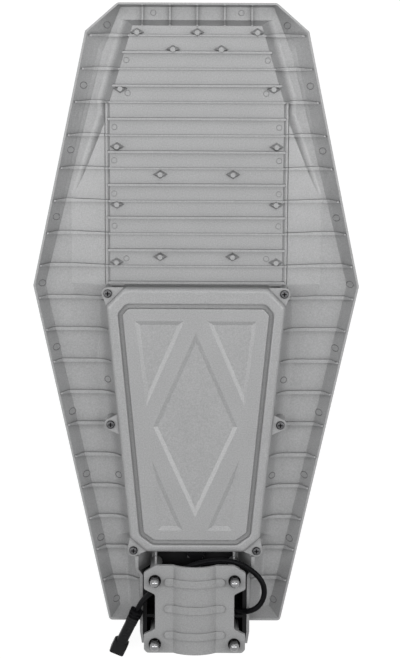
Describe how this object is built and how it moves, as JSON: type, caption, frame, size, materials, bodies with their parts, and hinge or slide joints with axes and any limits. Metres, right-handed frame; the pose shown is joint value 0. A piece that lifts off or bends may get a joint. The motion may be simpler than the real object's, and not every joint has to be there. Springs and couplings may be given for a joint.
{
  "type": "led street light head",
  "caption": "Solar street light head with a ribbed tray housing, a battery box under a screwed cover, a downward light panel, a pole clamp and a cable with a connector.",
  "frame": {"origin": "on the pole's axis, midway between the four clamp bolts", "axes": "+Y from the pole to the lamp's tip, +Z out of the ribbed back, +X to the right with the back in view and the tip up"},
  "size_m": [0.3314, 0.6771, 0.0839],
  "materials": {
    "housing_grey": "fine-textured light grey moulded plastic",
    "cap_grey": "fine-textured light grey moulded plastic",
    "black_plastic": "black moulded plastic",
    "black_rubber": "soft black rubber",
    "cable_jacket": "smooth black cable jacket",
    "screw_steel": "dark plated screw steel",
    "bright_chrome": "polished chrome",
    "board_white": "white solder mask on an aluminium board",
    "chip_phosphor": "yellow phosphor",
    "lens_clear": "clear moulded lens plastic",
    "pack_wrap": "blue shrink wrap",
    "strap_steel": "plated steel strip",
    "board_green": "green circuit board",
    "components_black": "moulded electronic components",
    "dome_white": "milky white sensor dome",
    "contact_brass": "plated contacts"
  },
  "bodies": {
    "root": {"housing": "housing_grey", "driver_cover": "housing_grey", "clamp_cap": "cap_grey", "cover_gasket": "black_rubber", "cover_screws": "screw_steel", "pole_saddle": "black_plastic", "clamp_bolts": "screw_steel", "clamp_washers": "bright_chrome", "clamp_nuts": "bright_chrome", "cable_grommet": "black_rubber", "solar_cable": "cable_jacket", "plug_relief": "black_rubber", "plug_body": "black_plastic", "plug_collar": "black_plastic", "plug_contacts": "contact_brass", "light_board": "board_white", "light_chips": "chip_phosphor", "lens_seal": "black_rubber", "lens_plate": "lens_clear", "lens_screws": "screw_steel", "board_screws": "screw_steel", "battery_pack": "pack_wrap", "battery_strap": "strap_steel", "strap_screws": "screw_steel", "controller_board": "board_green", "controller_parts": "components_black", "controller_screws": "screw_steel", "sensor_dome": "dome_white", "sensor_board": "board_green", "sensor_can": "strap_steel"}
  },
  "joints": []
}
